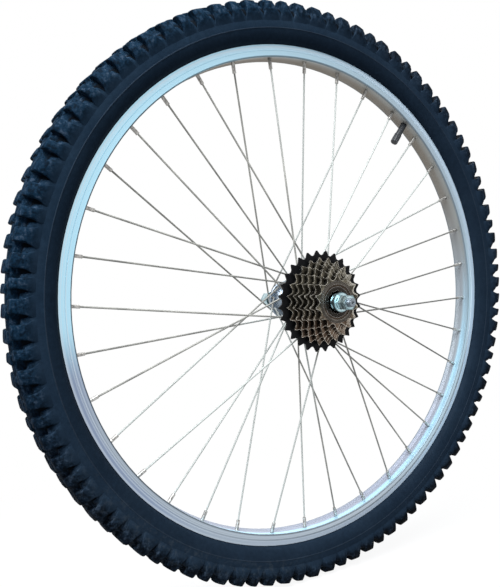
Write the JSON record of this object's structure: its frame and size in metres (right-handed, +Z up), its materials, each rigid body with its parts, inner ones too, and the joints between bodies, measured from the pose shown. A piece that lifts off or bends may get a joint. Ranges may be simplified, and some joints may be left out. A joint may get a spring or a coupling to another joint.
{
  "type": "bicycle rear wheel",
  "caption": "Spoked rear bicycle wheel with a knobby tyre, a solid-axle hub with nuts, and a stepped freewheel cluster that drives one way.",
  "frame": {"origin": "centre of the wheel on the axle, midway between the two axle ends and in the rim's middle plane", "axes": "+Y along the axle from the freewheel side to the left side, +Z up, +X forward"},
  "size_m": [0.66, 0.1794, 0.66],
  "materials": {
    "zinc": "zinc plated, satin",
    "bearing_steel": "ground",
    "hub_alloy": "polished",
    "spoke_steel": "zinc plated",
    "nipple_brass": "nickel plated",
    "rim_alloy": "silver anodised",
    "tape_rubber": "matte",
    "tube_rubber": "matte",
    "core_brass": "turned",
    "cap_plastic": "matte",
    "tyre_rubber": "matte, slightly dusty",
    "sprocket_black": "black oxide",
    "sprocket_bronze": "bronze-brown plated",
    "freewheel_steel": "dark plated"
  },
  "bodies": {
    "axle_set": {"axle": "zinc", "drive_cone": "bearing_steel", "drive_bearing_balls": "bearing_steel", "drive_axle_spacer": "zinc", "drive_lock_washer": "zinc", "drive_locknut": "zinc", "drive_axle_washer": "zinc", "drive_axle_nut": "zinc", "left_cone": "bearing_steel", "left_bearing_balls": "bearing_steel", "left_axle_spacer": "zinc", "left_lock_washer": "zinc", "left_locknut": "zinc", "left_axle_washer": "zinc", "left_axle_nut": "zinc"},
    "wheel": {"drive_bearing_cup": "bearing_steel", "left_bearing_cup": "bearing_steel", "drive_dust_cap": "zinc", "left_dust_cap": "zinc", "hub_shell": "hub_alloy", "drive_spokes": "spoke_steel", "left_spokes": "spoke_steel", "spoke_nipples": "nipple_brass", "rim": "rim_alloy", "rim_tape": "tape_rubber", "inner_tube": "tube_rubber", "valve_core": "core_brass", "tyre": "tyre_rubber", "freewheel_inner_body": "freewheel_steel", "freewheel_adjusting_cone": "freewheel_steel", "pawl_spring": "bearing_steel"},
    "sprockets": {"freewheel_outer_body": "freewheel_steel", "sprocket_spacers": "freewheel_steel", "sprocket_28t": "sprocket_black", "sprocket_24t": "sprocket_bronze", "sprocket_22t": "sprocket_bronze", "sprocket_20t": "sprocket_bronze", "sprocket_18t": "sprocket_bronze", "sprocket_16t": "sprocket_bronze", "sprocket_14t": "sprocket_bronze"},
    "pawl_a": {"freewheel_pawl_a": "bearing_steel"},
    "pawl_b": {"freewheel_pawl_b": "bearing_steel"},
    "valve_cap": {"valve_cap": "cap_plastic"},
    "valve_pin": {"valve_pin": "core_brass"}
  },
  "joints": [
    {"name": "wheel_spin", "type": "hinge", "parent": "axle_set", "child": "wheel", "pos_m": [0, 0, 0], "axis": [0, 1, 0], "continuous": true},
    {"name": "freewheel_spin", "type": "hinge", "parent": "wheel", "child": "sprockets", "pos_m": [0, 0, 0], "axis": [0, 1, 0], "continuous": true},
    {"name": "pawl_a_pivot", "type": "hinge", "parent": "wheel", "child": "pawl_a", "pos_m": [0.01851, -0.03745, 0.00674], "axis": [0, -1, 0], "range_deg": [0, 13], "stiffness_Nm_per_rad": 0.02, "springref_deg": -28.65},
    {"name": "pawl_b_pivot", "type": "hinge", "parent": "wheel", "child": "pawl_b", "pos_m": [-0.01851, -0.03745, -0.00674], "axis": [0, -1, 0], "range_deg": [0, 13], "stiffness_Nm_per_rad": 0.02, "springref_deg": -28.65},
    {"name": "valve_cap_pull", "type": "slide", "parent": "wheel", "child": "valve_cap", "axis": [-0.5727, 0, -0.8198], "range_m": [0, 0.014]},
    {"name": "valve_pin_press", "type": "slide", "parent": "wheel", "child": "valve_pin", "axis": [0.5727, 0, 0.8198], "range_m": [0, 0.001], "stiffness_N_per_m": 400, "springref_m": -0.002}
  ]
}
